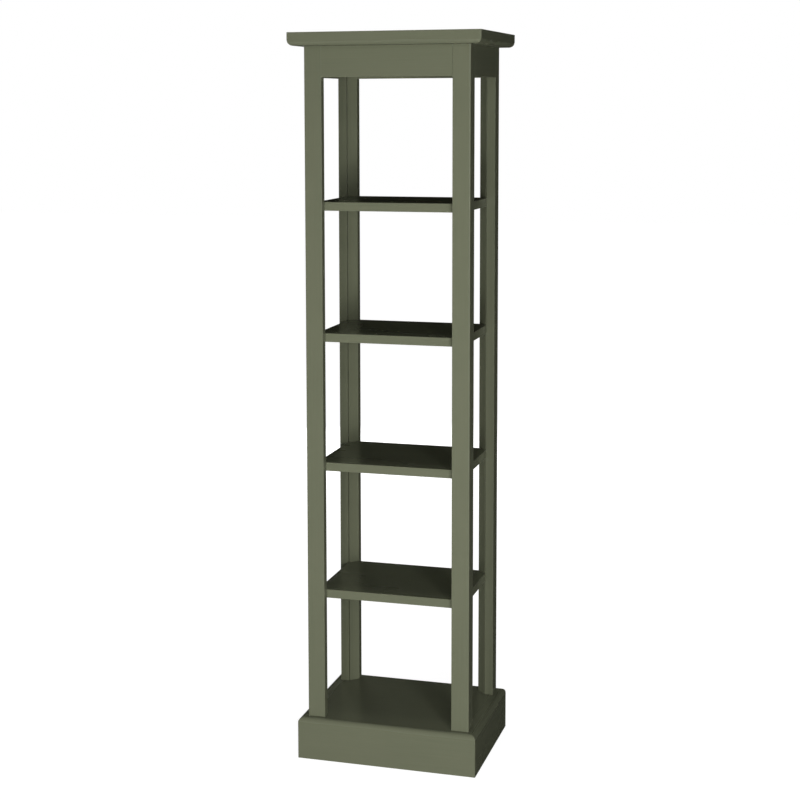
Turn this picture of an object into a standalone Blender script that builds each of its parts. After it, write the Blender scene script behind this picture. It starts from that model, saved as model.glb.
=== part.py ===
"""Slim open shelf cabinet in painted wood.

Four corner posts stand on a plinth and carry aprons and an overhanging top board. Four open
shelves fit between the posts, with their corners clipped to meet the posts' inner chamfers.
Metres, +Z up, the front faces -Y, and the origin is on the floor under the middle.
"""

import math

import bmesh
import bpy
from mathutils import Matrix, Vector

# Overall size
TOP_WIDTH = 0.503
TOP_DEPTH = 0.404
HEIGHT = 1.900

# Clearance between fitted pieces, and how far a blind hole runs past what is in it
FIT_GAP = 0.0003
BLIND_CLEARANCE = 0.0005

# Top board
TOP_THICKNESS = 0.034
TOP_OVERHANG = 0.0345
TOP_ROUND = 0.013
TOP_QUIRK = 0.0008
TOP_ARRIS = 0.0008
TOP_CORNER_RADIUS = 0.002

# Corner posts
POST_SIDE = 0.046
POST_CHAMFER = 0.024
POST_ARRIS = 0.003

# Aprons and their tenons
APRON_HEIGHT = 0.079
APRON_THICKNESS = 0.022
APRON_ARRIS = 0.001
TENON_LENGTH = 0.022
TENON_THICKNESS = 0.010
TENON_SHOULDER = 0.012

# Shelves
SHELF_COUNT = 4
SHELF_THICKNESS = 0.0225
SHELF_ARRIS = 0.0012

# Dowels that carry the shelf corners
DOWEL_DIAMETER = 0.008
DOWEL_LENGTH = 0.040
DOWEL_POINT = 0.001

# Base board and plinth
BASE_OVERHANG = 0.0225
BASE_BOARD_THICKNESS = 0.022
BASE_ROUND = 0.014
BASE_CORNER_RADIUS = 0.002
PLINTH_HEIGHT = 0.088
PLINTH_THICKNESS = 0.022
BLOCK_SIDE = 0.040

# Battens that hold the top board
BATTEN_HEIGHT = 0.022
BATTEN_DEPTH = 0.022
BATTEN_ARRIS = 0.001
BATTEN_TOP_SCREW_PLACE = 0.080
BATTEN_SIDE_SCREW_PLACE = 0.040

# Countersunk wood screws, with crossed slots measured in head diameters
POST_SCREW_SHANK = 0.006
POST_SCREW_HEAD = 0.012
POST_SCREW_LENGTH = 0.070
POST_SCREW_INSET = 0.018
BATTEN_SCREW_SHANK = 0.004
BATTEN_SCREW_HEAD = 0.008
BATTEN_SCREW_LENGTH = 0.036
HEAD_RIM = 0.0005
POINT_LENGTH = 0.008
SLOT_LENGTH = 0.6
SLOT_WIDTH = 0.16
SLOT_DEPTH = 0.2

ROUND_SIDES = 16
ARC_STEPS = 6
SAME_PLACE = 1e-6
SMOOTH_UP_TO_DEGREES = 25

# Where the main pieces meet
BODY_X = TOP_WIDTH / 2 - TOP_OVERHANG
BODY_Y = TOP_DEPTH / 2 - TOP_OVERHANG
BASE_X = BODY_X + BASE_OVERHANG
BASE_Y = BODY_Y + BASE_OVERHANG
BASE_TOP = PLINTH_HEIGHT + BASE_BOARD_THICKNESS
TOP_UNDERSIDE = HEIGHT - TOP_THICKNESS
APRON_BOTTOM = TOP_UNDERSIDE - APRON_HEIGHT
SHELF_CLEAR = (APRON_BOTTOM - BASE_TOP - SHELF_COUNT * SHELF_THICKNESS) / (SHELF_COUNT + 1)
POST_FLAT = POST_SIDE - POST_CHAMFER
TENON_BOTTOM = APRON_BOTTOM + TENON_SHOULDER
TENON_TOP = TOP_UNDERSIDE - TENON_SHOULDER

# Each corner's name with the way it lies from the middle
CORNERS = (
    ("front_left", -1, -1),
    ("front_right", 1, -1),
    ("back_left", -1, 1),
    ("back_right", 1, 1),
)

PAINT_COLOUR = (0.140, 0.150, 0.098, 1.0)
BARE_WOOD_COLOUR = (0.520, 0.370, 0.210, 1.0)
STEEL_COLOUR = (0.560, 0.560, 0.550, 1.0)


def clear_scene():
    """Removes every object, so that only the cabinet is left."""
    for obj in list(bpy.data.objects):
        bpy.data.objects.remove(obj, do_unlink=True)


def plain_material(name, colour, roughness, metallic):
    """Makes a material of one colour."""
    made = bpy.data.materials.new(name)
    made.use_nodes = True
    shader = made.node_tree.nodes["Principled BSDF"]
    shader.inputs["Base Color"].default_value = colour
    shader.inputs["Roughness"].default_value = roughness
    shader.inputs["Metallic"].default_value = metallic
    made.diffuse_color = colour
    return made


def painted_wood():
    """The satin paint of everything that shows."""
    return plain_material("painted_wood", PAINT_COLOUR, 0.38, 0.0)


def bare_wood():
    """The raw wood of hidden dowels, blocks and battens."""
    return plain_material("bare_wood", BARE_WOOD_COLOUR, 0.7, 0.0)


def screw_steel():
    """The plated steel of the screws."""
    return plain_material("screw_steel", STEEL_COLOUR, 0.35, 1.0)


def add_object(name, shape, material):
    """Turns a bmesh into a named object with one material, smooth except at its arrises."""
    mesh = bpy.data.meshes.new(name)
    bmesh.ops.recalc_face_normals(shape, faces=shape.faces)
    shape.to_mesh(mesh)
    shape.free()
    mesh.materials.append(material)
    mesh.shade_smooth()
    mesh.set_sharp_from_angle(angle=math.radians(SMOOTH_UP_TO_DEGREES))
    obj = bpy.data.objects.new(name, mesh)
    bpy.context.scene.collection.objects.link(obj)
    return obj


def combine(obj, other_shape, operation):
    """Joins or cuts the object with a bmesh, which stays behind as a hidden wire object."""
    suffix = "_joined" if operation == "UNION" else "_holes"
    other = add_object(obj.name + suffix, other_shape, obj.data.materials[0])
    other.hide_render = True
    other.display_type = "WIRE"
    modifier = obj.modifiers.new(suffix.strip("_"), "BOOLEAN")
    modifier.operation = operation
    modifier.solver = "EXACT"
    modifier.object = other


def add_prism(shape, outline, low, high):
    """Adds the upright prism over an outline of (x, y) corners and returns its upright edges."""
    bottom = [shape.verts.new((x, y, low)) for x, y in outline]
    top = [shape.verts.new((x, y, high)) for x, y in outline]
    shape.faces.new(bottom[::-1])
    shape.faces.new(top)
    for i, start in enumerate(bottom):
        j = (i + 1) % len(bottom)
        shape.faces.new((start, bottom[j], top[j], top[i]))
    return [shape.edges.get((a, b)) for a, b in zip(bottom, top)]


def add_box(shape, low, high):
    """Adds the box between two opposite corners."""
    outline = ((low[0], low[1]), (high[0], low[1]), (high[0], high[1]), (low[0], high[1]))
    return add_prism(shape, outline, low[2], high[2])


def ease_edges(shape, edges, radius):
    """Rounds edges over a small radius, as sanding does."""
    bmesh.ops.bevel(
        shape, geom=list(edges), offset=radius, offset_type="OFFSET", segments=2,
        profile=0.5, affect="EDGES", clamp_overlap=True,
    )


def level_edges(shape, height):
    """The edges that lie at one height."""
    return [e for e in shape.edges if all(abs(v.co.z - height) < SAME_PLACE for v in e.verts)]


def corner_outline(half_x, half_y, inset, radius):
    """A rectangle drawn in by an inset, with its corners rounded as far as the inset leaves."""
    left_over = max(radius - inset, 0.0)
    points = []
    for quarter, (sx, sy) in enumerate(((1, 1), (-1, 1), (-1, -1), (1, -1))):
        for step in range(ARC_STEPS // 2 + 1):
            angle = math.radians(90 * (quarter + step / (ARC_STEPS // 2)))
            points.append(
                (
                    sx * (half_x - inset - left_over) + left_over * math.cos(angle),
                    sy * (half_y - inset - left_over) + left_over * math.sin(angle),
                )
            )
    return points


def stacked_rings(half_x, half_y, radius, levels):
    """A block whose outline at each (inset, height) level is the rectangle drawn in by the inset."""
    shape = bmesh.new()
    rings = []
    for inset, height in levels:
        outline = corner_outline(half_x, half_y, inset, radius)
        rings.append([shape.verts.new((x, y, height)) for x, y in outline])
    shape.faces.new(rings[0][::-1])
    shape.faces.new(rings[-1])
    for lower, upper in zip(rings, rings[1:]):
        for i, start in enumerate(lower):
            j = (i + 1) % len(lower)
            shape.faces.new((start, lower[j], upper[j], upper[i]))
    bmesh.ops.remove_doubles(shape, verts=shape.verts, dist=SAME_PLACE)
    return shape


def quarter_round(radius):
    """Pairs of (inset, drop) along a quarter circle, from the flat to the upright side."""
    angles = [math.radians(90 * step / ARC_STEPS) for step in range(ARC_STEPS + 1)]
    return [(radius * (1 - math.sin(a)), radius * (1 - math.cos(a))) for a in angles]


def turned_shape(profile, sides):
    """A closed round shape about +Z from (radius, height) points, pointed where a radius is 0."""
    shape = bmesh.new()
    rings = []
    for radius, height in profile:
        if radius == 0:
            rings.append([shape.verts.new((0, 0, height))])
            continue
        angles = [2 * math.pi * side / sides for side in range(sides)]
        rings.append(
            [shape.verts.new((radius * math.cos(a), radius * math.sin(a), height)) for a in angles]
        )
    for lower, upper in zip(rings, rings[1:]):
        for i in range(sides):
            j = (i + 1) % sides
            corners = [lower[i % len(lower)], lower[j % len(lower)]]
            corners += [upper[j % len(upper)], upper[i % len(upper)]]
            shape.faces.new(list(dict.fromkeys(corners)))
    for ring in (rings[0], rings[-1]):
        if len(ring) > 1:
            shape.faces.new(ring)
    bmesh.ops.recalc_face_normals(shape, faces=shape.faces)
    return shape


def merge_shape(target, source, matrix):
    """Moves one bmesh into place inside another."""
    copy = bpy.data.meshes.new("placed")
    source.to_mesh(copy)
    source.free()
    copy.transform(matrix)
    target.from_mesh(copy)
    bpy.data.meshes.remove(copy)


def along(direction, start):
    """The matrix that turns +Z to a direction and puts the origin at a start point."""
    turn = Vector((0, 0, 1)).rotation_difference(Vector(direction)).to_matrix().to_4x4()
    return Matrix.Translation(start) @ turn


def shelf_bottom(number):
    """The underside of a shelf, counted from 1 at the lowest."""
    return BASE_TOP + number * SHELF_CLEAR + (number - 1) * SHELF_THICKNESS


def corner_seat(sx, sy, height):
    """The middle of a post's inner chamfer at a height, and the level direction out of it."""
    middle = POST_SIDE - POST_CHAMFER / 2
    place = Vector((sx * (BODY_X - middle), sy * (BODY_Y - middle), height))
    outward = Vector((-sx, -sy, 0)).normalized()
    return place, outward


def dowel_bores(sx, sy, heights):
    """The bores for the dowels of one corner, through both sides of its seat."""
    cutter = bmesh.new()
    half = DOWEL_LENGTH / 2 + BLIND_CLEARANCE
    radius = DOWEL_DIAMETER / 2 + FIT_GAP
    for height in heights:
        seat, outward = corner_seat(sx, sy, height)
        bore = turned_shape(((radius, -half), (radius, half)), ROUND_SIDES)
        merge_shape(cutter, bore, along(outward, seat + outward * FIT_GAP / 2))
    return cutter


def shelf_middles():
    """The heights of the shelves' middle planes."""
    return [shelf_bottom(n) + SHELF_THICKNESS / 2 for n in range(1, SHELF_COUNT + 1)]


def screw_shape(shank, head, length):
    """A countersunk screw with its head's face at the origin, pointing along +Z."""
    sink = (head - shank) / 2
    profile = (
        (head / 2, 0), (head / 2, HEAD_RIM), (shank / 2, HEAD_RIM + sink),
        (shank / 2, length - POINT_LENGTH), (0, length),
    )
    return turned_shape(profile, ROUND_SIDES)


def screw_hole(shank, head, length):
    """The countersunk hole that a screw sits in, from just outside its head's face."""
    sink = (head - shank) / 2
    bore = shank / 2 + FIT_GAP
    mouth = head / 2 + FIT_GAP
    rim = HEAD_RIM + FIT_GAP
    profile = (
        (mouth, -FIT_GAP * 2), (mouth, rim), (bore, rim + sink), (bore, length + BLIND_CLEARANCE),
    )
    return turned_shape(profile, ROUND_SIDES)


def drive_slots(head):
    """The crossed drive slots in a screw's head."""
    cutter = bmesh.new()
    half_length = head * SLOT_LENGTH / 2
    half_width = head * SLOT_WIDTH / 2
    depth = head * SLOT_DEPTH
    outline = [
        (half_length, -half_width), (half_length, half_width), (half_width, half_width),
        (half_width, half_length), (-half_width, half_length), (-half_width, half_width),
        (-half_length, half_width), (-half_length, -half_width), (-half_width, -half_width),
        (-half_width, -half_length), (half_width, -half_length), (half_width, -half_width),
    ]
    add_prism(cutter, outline, -depth, depth)
    bmesh.ops.recalc_face_normals(cutter, faces=cutter.faces)
    return cutter


def add_screw(name, place, direction, sizes, material):
    """Adds one screw with its head's face at a place."""
    matrix = along(direction, place)
    shape = bmesh.new()
    merge_shape(shape, screw_shape(*sizes), matrix)
    screw = add_object(name, shape, material)
    slots = bmesh.new()
    merge_shape(slots, drive_slots(sizes[1]), matrix)
    combine(screw, slots, "DIFFERENCE")


POST_SCREW = (POST_SCREW_SHANK, POST_SCREW_HEAD, POST_SCREW_LENGTH)
BATTEN_SCREW = (BATTEN_SCREW_SHANK, BATTEN_SCREW_HEAD, BATTEN_SCREW_LENGTH)


def post_screw_places():
    """Each post screw's name with its head's place, level with the base board's underside."""
    for corner, sx, sy in CORNERS:
        x = sx * (BODY_X - POST_SCREW_INSET)
        y = sy * (BODY_Y - POST_SCREW_INSET)
        yield "post_screw_" + corner, Vector((x, y, PLINTH_HEIGHT + FIT_GAP))


def batten_screw_places():
    """Each batten screw as (name, side, place, direction): up into the top, or out into an apron."""
    outer = BODY_X - APRON_THICKNESS - FIT_GAP
    under = TOP_UNDERSIDE - FIT_GAP - BATTEN_HEIGHT
    for side, sx in (("left", -1), ("right", 1)):
        for end, sy in (("front", -1), ("back", 1)):
            up_place = (sx * (outer - BATTEN_DEPTH / 2), sy * BATTEN_TOP_SCREW_PLACE, under)
            out_place = (
                sx * (outer - BATTEN_DEPTH), sy * BATTEN_SIDE_SCREW_PLACE, under + BATTEN_HEIGHT / 2,
            )
            yield f"top_screw_{side}_{end}", side, Vector(up_place), Vector((0, 0, 1))
            yield f"batten_screw_{side}_{end}", side, Vector(out_place), Vector((sx, 0, 0))


def build_top_board(material):
    """The thick top board: an upright edge, a fine quirk and a quarter round under it."""
    round_start = TOP_UNDERSIDE + TOP_ROUND
    levels = [
        (TOP_QUIRK + inset, TOP_UNDERSIDE + drop) for inset, drop in quarter_round(TOP_ROUND)
    ]
    levels += [(0.0, round_start), (0.0, HEIGHT - TOP_ARRIS), (TOP_ARRIS, HEIGHT)]
    shape = stacked_rings(TOP_WIDTH / 2, TOP_DEPTH / 2, TOP_CORNER_RADIUS, levels)
    board = add_object("top_board", shape, material)
    holes = bmesh.new()
    for name, _, place, direction in batten_screw_places():
        if name.startswith("top_screw"):
            merge_shape(holes, screw_hole(*BATTEN_SCREW), along(direction, place))
    combine(board, holes, "DIFFERENCE")


def mortise_boxes(sx, sy):
    """The mortises for the two apron tenons that enter a post, as (low, high) corners."""
    across = (
        (APRON_THICKNESS - TENON_THICKNESS) / 2 - FIT_GAP,
        (APRON_THICKNESS + TENON_THICKNESS) / 2 + FIT_GAP,
    )
    reach = (POST_SIDE - TENON_LENGTH - BLIND_CLEARANCE, POST_SIDE + FIT_GAP)
    for span_x, span_y in ((reach, across), (across, reach)):
        xs = sorted(sx * (BODY_X - d) for d in span_x)
        ys = sorted(sy * (BODY_Y - d) for d in span_y)
        yield (xs[0], ys[0], TENON_BOTTOM - FIT_GAP), (xs[1], ys[1], TENON_TOP + FIT_GAP)


def post_outline(sx, sy):
    """A post's section: a square with its inner corner chamfered."""
    plan = [
        (0, 0), (POST_SIDE, 0), (POST_SIDE, POST_FLAT), (POST_FLAT, POST_SIDE), (0, POST_SIDE),
    ]
    points = [(sx * (BODY_X - x), sy * (BODY_Y - y)) for x, y in plan]
    return points if sx * sy > 0 else points[::-1]


def build_posts(material):
    """The four corner posts, with mortises, dowel bores and a screw hole in the foot."""
    screws = dict(post_screw_places())
    for corner, sx, sy in CORNERS:
        shape = bmesh.new()
        uprights = add_prism(
            shape, post_outline(sx, sy), BASE_TOP + FIT_GAP, TOP_UNDERSIDE - FIT_GAP
        )
        ease_edges(shape, uprights, POST_ARRIS)
        post = add_object("post_" + corner, shape, material)
        holes = dowel_bores(sx, sy, shelf_middles())
        for low, high in mortise_boxes(sx, sy):
            add_box(holes, low, high)
        place = screws["post_screw_" + corner]
        merge_shape(holes, screw_hole(*POST_SCREW), along((0, 0, 1), place))
        combine(post, holes, "DIFFERENCE")


def build_apron(name, half_length, outer_face, turn, material):
    """One apron between two posts, with a tenon at each end. It is drawn facing +Y, then turned."""
    low = APRON_BOTTOM
    high = TOP_UNDERSIDE - FIT_GAP
    inner_face = outer_face - APRON_THICKNESS
    middle = (inner_face + outer_face) / 2
    rotation = Matrix.Rotation(math.radians(turn), 4, "Z")
    board = bmesh.new()
    add_box(board, (-half_length, inner_face, low), (half_length, outer_face, high))
    lower_edges = [
        e for e in level_edges(board, low) if abs(e.verts[0].co.x - e.verts[1].co.x) > half_length
    ]
    ease_edges(board, lower_edges, APRON_ARRIS)
    bmesh.ops.transform(board, matrix=rotation, verts=board.verts)
    apron = add_object(name, board, material)
    tenons = bmesh.new()
    for end in (-1, 1):
        xs = sorted((end * (half_length - TENON_LENGTH / 2), end * (half_length + TENON_LENGTH)))
        add_box(
            tenons,
            (xs[0], middle - TENON_THICKNESS / 2, TENON_BOTTOM),
            (xs[1], middle + TENON_THICKNESS / 2, TENON_TOP),
        )
    bmesh.ops.transform(tenons, matrix=rotation, verts=tenons.verts)
    combine(apron, tenons, "UNION")
    return apron


def build_aprons(material):
    """The four aprons under the top board. The side ones take the batten screws."""
    half_x = BODY_X - POST_SIDE - FIT_GAP
    half_y = BODY_Y - POST_SIDE - FIT_GAP
    build_apron("apron_front", half_x, BODY_Y, 180, material)
    build_apron("apron_back", half_x, BODY_Y, 0, material)
    for side, turn in (("left", 90), ("right", -90)):
        apron = build_apron("apron_" + side, half_y, BODY_X, turn, material)
        holes = bmesh.new()
        for name, screw_side, place, direction in batten_screw_places():
            if name.startswith("batten_screw") and screw_side == side:
                merge_shape(holes, screw_hole(*BATTEN_SCREW), along(direction, place))
        combine(apron, holes, "DIFFERENCE")


def shelf_outline():
    """A shelf's outline: level with the posts' flats, with corners clipped to the chamfers."""
    edge_x = BODY_X - POST_FLAT
    edge_y = BODY_Y - POST_FLAT
    clip = POST_CHAMFER + FIT_GAP * math.sqrt(2)
    return [
        (edge_x, edge_y - clip), (edge_x - clip, edge_y),
        (-edge_x + clip, edge_y), (-edge_x, edge_y - clip),
        (-edge_x, -edge_y + clip), (-edge_x + clip, -edge_y),
        (edge_x - clip, -edge_y), (edge_x, -edge_y + clip),
    ]


def build_shelves(material):
    """The shelves, counted from the lowest, each bored for a dowel at every corner."""
    for number, middle in enumerate(shelf_middles(), 1):
        shape = bmesh.new()
        low = middle - SHELF_THICKNESS / 2
        high = middle + SHELF_THICKNESS / 2
        add_prism(shape, shelf_outline(), low, high)
        ease_edges(shape, level_edges(shape, low) + level_edges(shape, high), SHELF_ARRIS)
        shelf = add_object(f"shelf_{number}", shape, material)
        holes = bmesh.new()
        for _, sx, sy in CORNERS:
            merge_shape(holes, dowel_bores(sx, sy, [middle]), Matrix.Identity(4))
        combine(shelf, holes, "DIFFERENCE")


def build_dowels(material):
    """The dowels that run level from each post's chamfer into a shelf corner."""
    half = DOWEL_LENGTH / 2
    radius = DOWEL_DIAMETER / 2
    profile = (
        (radius - DOWEL_POINT, -half), (radius, -half + DOWEL_POINT),
        (radius, half - DOWEL_POINT), (radius - DOWEL_POINT, half),
    )
    for number, height in enumerate(shelf_middles(), 1):
        for corner, sx, sy in CORNERS:
            seat, outward = corner_seat(sx, sy, height)
            shape = bmesh.new()
            dowel = turned_shape(profile, ROUND_SIDES)
            merge_shape(shape, dowel, along(outward, seat + outward * FIT_GAP / 2))
            add_object(f"shelf_dowel_{number}_{corner}", shape, material)


def build_base_board(material):
    """The board that the posts stand on, with a rounded top edge all round."""
    levels = [(0.0, PLINTH_HEIGHT + FIT_GAP)]
    levels += [(inset, BASE_TOP - drop) for inset, drop in reversed(quarter_round(BASE_ROUND))]
    shape = stacked_rings(BASE_X, BASE_Y, BASE_CORNER_RADIUS, levels)
    board = add_object("base_board", shape, material)
    holes = bmesh.new()
    for _, place in post_screw_places():
        merge_shape(holes, screw_hole(*POST_SCREW), along((0, 0, 1), place))
    combine(board, holes, "DIFFERENCE")


def build_plinth(material):
    """Four upright boards under the base board, mitred at the corners."""
    inner_x = BASE_X - PLINTH_THICKNESS
    inner_y = BASE_Y - PLINTH_THICKNESS
    slack = FIT_GAP / math.sqrt(2)
    ease = BASE_CORNER_RADIUS / 2
    sides = (
        ("front", 180, BASE_X, BASE_Y, inner_x, inner_y),
        ("back", 0, BASE_X, BASE_Y, inner_x, inner_y),
        ("left", 90, BASE_Y, BASE_X, inner_y, inner_x),
        ("right", -90, BASE_Y, BASE_X, inner_y, inner_x),
    )
    for side, turn, outer_half, outer_face, inner_half, inner_face in sides:
        right = [
            (inner_half - slack, inner_face),
            (outer_half - slack - ease / 2, outer_face - ease / 2),
            (outer_half - slack - ease, outer_face),
        ]
        outline = right + [(-x, y) for x, y in right[::-1]]
        shape = bmesh.new()
        add_prism(shape, outline, 0.0, PLINTH_HEIGHT)
        rotation = Matrix.Rotation(math.radians(turn), 4, "Z")
        bmesh.ops.transform(shape, matrix=rotation, verts=shape.verts)
        add_object("plinth_" + side, shape, material)


def build_blocks(material):
    """Corner blocks inside the plinth, under the posts, that stand on the floor with it."""
    outer_x = BASE_X - PLINTH_THICKNESS - FIT_GAP
    outer_y = BASE_Y - PLINTH_THICKNESS - FIT_GAP
    for corner, sx, sy in CORNERS:
        xs = sorted((sx * outer_x, sx * (outer_x - BLOCK_SIDE)))
        ys = sorted((sy * outer_y, sy * (outer_y - BLOCK_SIDE)))
        shape = bmesh.new()
        add_box(shape, (xs[0], ys[0], 0.0), (xs[1], ys[1], PLINTH_HEIGHT))
        add_object("plinth_block_" + corner, shape, material)


def build_battens(material):
    """The battens inside the side aprons that the top board is screwed down to."""
    high = TOP_UNDERSIDE - FIT_GAP
    outer = BODY_X - APRON_THICKNESS - FIT_GAP
    half_length = BODY_Y - POST_SIDE - FIT_GAP
    for side, sx in (("left", -1), ("right", 1)):
        xs = sorted((sx * outer, sx * (outer - BATTEN_DEPTH)))
        shape = bmesh.new()
        add_box(
            shape,
            (xs[0], -half_length, high - BATTEN_HEIGHT),
            (xs[1], half_length, high),
        )
        ease_edges(shape, level_edges(shape, high - BATTEN_HEIGHT), BATTEN_ARRIS)
        batten = add_object("top_batten_" + side, shape, material)
        holes = bmesh.new()
        for _, screw_side, place, direction in batten_screw_places():
            if screw_side == side:
                merge_shape(holes, screw_hole(*BATTEN_SCREW), along(direction, place))
        combine(batten, holes, "DIFFERENCE")


def build_screws(material):
    """The post screws under the base board and the batten screws under the top board."""
    for name, place in post_screw_places():
        add_screw(name, place, (0, 0, 1), POST_SCREW, material)
    for name, _, place, direction in batten_screw_places():
        add_screw(name, place, direction, BATTEN_SCREW, material)


def main():
    """Builds the cabinet from its top down to its plinth, then its hidden fixings."""
    clear_scene()
    paint = painted_wood()
    wood = bare_wood()
    build_top_board(paint)
    build_posts(paint)
    build_aprons(paint)
    build_shelves(paint)
    build_base_board(paint)
    build_plinth(paint)
    build_dowels(wood)
    build_blocks(wood)
    build_battens(wood)
    build_screws(screw_steel())


main()
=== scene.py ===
"""Slim open shelf cabinet in satin painted wood.

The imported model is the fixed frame. Every painted board and post is worked out here as a fine
surface in the place of its plain solid, with its arrises rounded and its joints cut in. The
dowels, blocks, battens and screws keep their solids and get their own finishes.
Metres, +Z up, the front faces -Y.
"""

import logging
import math
from dataclasses import dataclass
from enum import Enum
from typing import Iterable, Sequence

import bpy
import numpy as np
from mathutils import Matrix, Vector


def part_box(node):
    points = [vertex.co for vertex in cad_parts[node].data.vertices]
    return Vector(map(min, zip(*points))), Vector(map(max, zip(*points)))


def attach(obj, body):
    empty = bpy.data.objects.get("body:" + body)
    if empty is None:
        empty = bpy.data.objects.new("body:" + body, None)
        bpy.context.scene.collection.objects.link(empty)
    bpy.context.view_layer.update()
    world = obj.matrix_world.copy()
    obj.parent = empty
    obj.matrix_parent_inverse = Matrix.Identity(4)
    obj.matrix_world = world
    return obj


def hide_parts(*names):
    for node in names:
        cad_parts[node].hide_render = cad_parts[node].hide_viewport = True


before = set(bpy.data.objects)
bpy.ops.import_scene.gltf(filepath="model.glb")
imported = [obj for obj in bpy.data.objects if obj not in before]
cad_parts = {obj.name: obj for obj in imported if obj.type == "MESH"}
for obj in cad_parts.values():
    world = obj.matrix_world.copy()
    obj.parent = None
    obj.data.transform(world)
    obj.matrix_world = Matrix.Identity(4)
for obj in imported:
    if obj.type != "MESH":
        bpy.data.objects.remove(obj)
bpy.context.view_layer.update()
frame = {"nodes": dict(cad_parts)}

LOG = logging.getLogger("shelf_cabinet")

Node = bpy.types.ShaderNode
NodeTree = bpy.types.NodeTree
Socket = bpy.types.NodeSocket
Object = bpy.types.Object
Material = bpy.types.Material
Shape = tuple[np.ndarray, list[list[int]]]

BODY = "root"
MM = 0.001
UP = Vector((0, 0, 1))

# The smallest radius that a corner keeps, and the one from which an arris gets its full worn,
# lighter tone, partly a painted highlight
LEAST_RADIUS = 0.00015
FULL_ARRIS_RADIUS = 1.0 * MM

# Chords of an arris, of the small arris at a piece's end, and round a bore
ARC_STEPS = 6
END_STEPS = 2
BORE_SIDES = 24

# Edges sharper than this angle stay sharp when a piece is shaded
SHARP_FROM = math.radians(32)


class Grain(Enum):
    """The way the wood runs, as the roll that turns (across, across, along) into (x, y, z)."""

    UPRIGHT = 0
    ALONG_X = 1
    ALONG_Y = 2


class Corner(Enum):
    """The four corners, each with its sides of the middle."""

    FRONT_LEFT = (-1, -1)
    FRONT_RIGHT = (1, -1)
    BACK_LEFT = (-1, 1)
    BACK_RIGHT = (1, 1)

    @property
    def word(self) -> str:
        """The corner's name as the frame's nodes end."""
        return self.name.lower()


# Surfaces


def rounded_outlines(
    corners: np.ndarray, radii: Sequence[float], insets: Sequence[float]
) -> tuple[np.ndarray, np.ndarray]:
    """Draws an outline in by each inset and rounds its corners.

    Formula: where edges with outward normals m and n meet, k = (m + n) / (1 + m.n) is how far the
    corner moves out for each unit that its edges do, and s is 1 at an outer corner and -1 at an
    inner one. The arc's centre is the corner less (inset + s * radius) * k, with the radius that
    the inset leaves, and the arc's points are the centre plus s * radius * (cos a, sin a), with a
    going evenly from m's angle to n's.

    Args:
        corners: the outline's corners in anticlockwise order, one row each.
        radii: each corner's radius.
        insets: how far each ring is drawn in.

    Returns:
        The rings' points, and how far round its arc each point of a ring is: 0 where the arc
        meets a flat and 1 in its middle, or less where the radius is under the one that gets the
        full arris mark of worn paint and painted highlight.
    """
    edges = np.roll(corners, -1, axis=0) - corners
    edges = edges / np.linalg.norm(edges, axis=1, keepdims=True)
    after = np.stack([edges[:, 1], -edges[:, 0]], axis=1)
    before = np.roll(after, 1, axis=0)
    alike = np.sum(before * after, axis=1)
    offset = (before + after) / (1 + alike[:, None])
    start = np.arctan2(before[:, 1], before[:, 0])
    turn = np.arctan2(before[:, 0] * after[:, 1] - before[:, 1] * after[:, 0], alike)
    side = np.where(turn < 0, -1.0, 1.0)
    share = np.linspace(0, 1, ARC_STEPS + 1)
    angle = start[:, None] + turn[:, None] * share
    unit = side[:, None, None] * np.stack([np.cos(angle), np.sin(angle)], axis=-1)
    drawn_in = np.asarray(insets, float)[:, None]
    wanted = np.asarray(radii, float)
    left = np.maximum(wanted - side * drawn_in, LEAST_RADIUS)
    centre = corners - (drawn_in + side * left)[..., None] * offset
    points = centre[:, :, None] + left[:, :, None, None] * unit
    bend = np.minimum(wanted / FULL_ARRIS_RADIUS, 1)[:, None] * 4 * share * (1 - share)
    return points.reshape(len(drawn_in), -1, 2), bend.ravel()


def loft(outlines: np.ndarray, stations: Sequence[float], grain: Grain) -> Shape:
    """Carries outlines along the grain and closes both ends.

    Formula: point (u, v) is point u of outline v, with station v as its place along the grain.

    Args:
        outlines: one ring of points for each station.
        stations: each ring's place along the grain, rising.
        grain: the axis that the stations lie on.

    Returns:
        The points and the faces, which point outwards.
    """
    rings, count = outlines.shape[:2]
    along = np.broadcast_to(np.asarray(stations, float)[:, None, None], (rings, count, 1))
    points = np.roll(np.concatenate([outlines, along], axis=2), grain.value, axis=2)
    row = np.arange(rings - 1)[:, None] * count
    start = (row + np.arange(count)).ravel()
    ahead = (row + (np.arange(count) + 1) % count).ravel()
    sides = np.stack([start, ahead, ahead + count, start + count], axis=1)
    first = np.arange(count)[::-1]
    last = (rings - 1) * count + np.arange(count)
    return points.reshape(-1, 3), sides.tolist() + [first.tolist(), last.tolist()]


def turned(profile: np.ndarray, foot: Vector, way: Vector) -> Shape:
    """Turns a profile round an axis.

    Formula: point (u, v) is the foot, plus the profile's height v along the axis, plus its radius
    v times (e cos u + f sin u), where e and f are square to the axis and to each other.

    Args:
        profile: rows of (radius, height), rising.
        foot: where the height is 0.
        way: the axis, as a unit vector.

    Returns:
        The points and the faces, which point outwards.
    """
    turn = np.array(UP.rotation_difference(way).to_matrix())
    angle = np.linspace(0, 2 * np.pi, BORE_SIDES, endpoint=False)
    circle = np.stack([np.cos(angle), np.sin(angle)], axis=-1)
    points, faces = loft(profile[:, 0, None, None] * circle, profile[:, 1], Grain.UPRIGHT)
    return points @ turn.T + np.array(foot), faces


def rectangle(low: Sequence[float], high: Sequence[float]) -> np.ndarray:
    """The corners of an upright box's plan, anticlockwise from its least x and y."""
    return np.array([(low[0], low[1]), (high[0], low[1]), (high[0], high[1]), (low[0], high[1])])


def block(low: Sequence[float], high: Sequence[float]) -> Shape:
    """A pocket's box between two opposite corners, as four upright sides and two ends."""
    return loft(np.stack([rectangle(low, high)] * 2), (low[2], high[2]), Grain.UPRIGHT)


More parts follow.
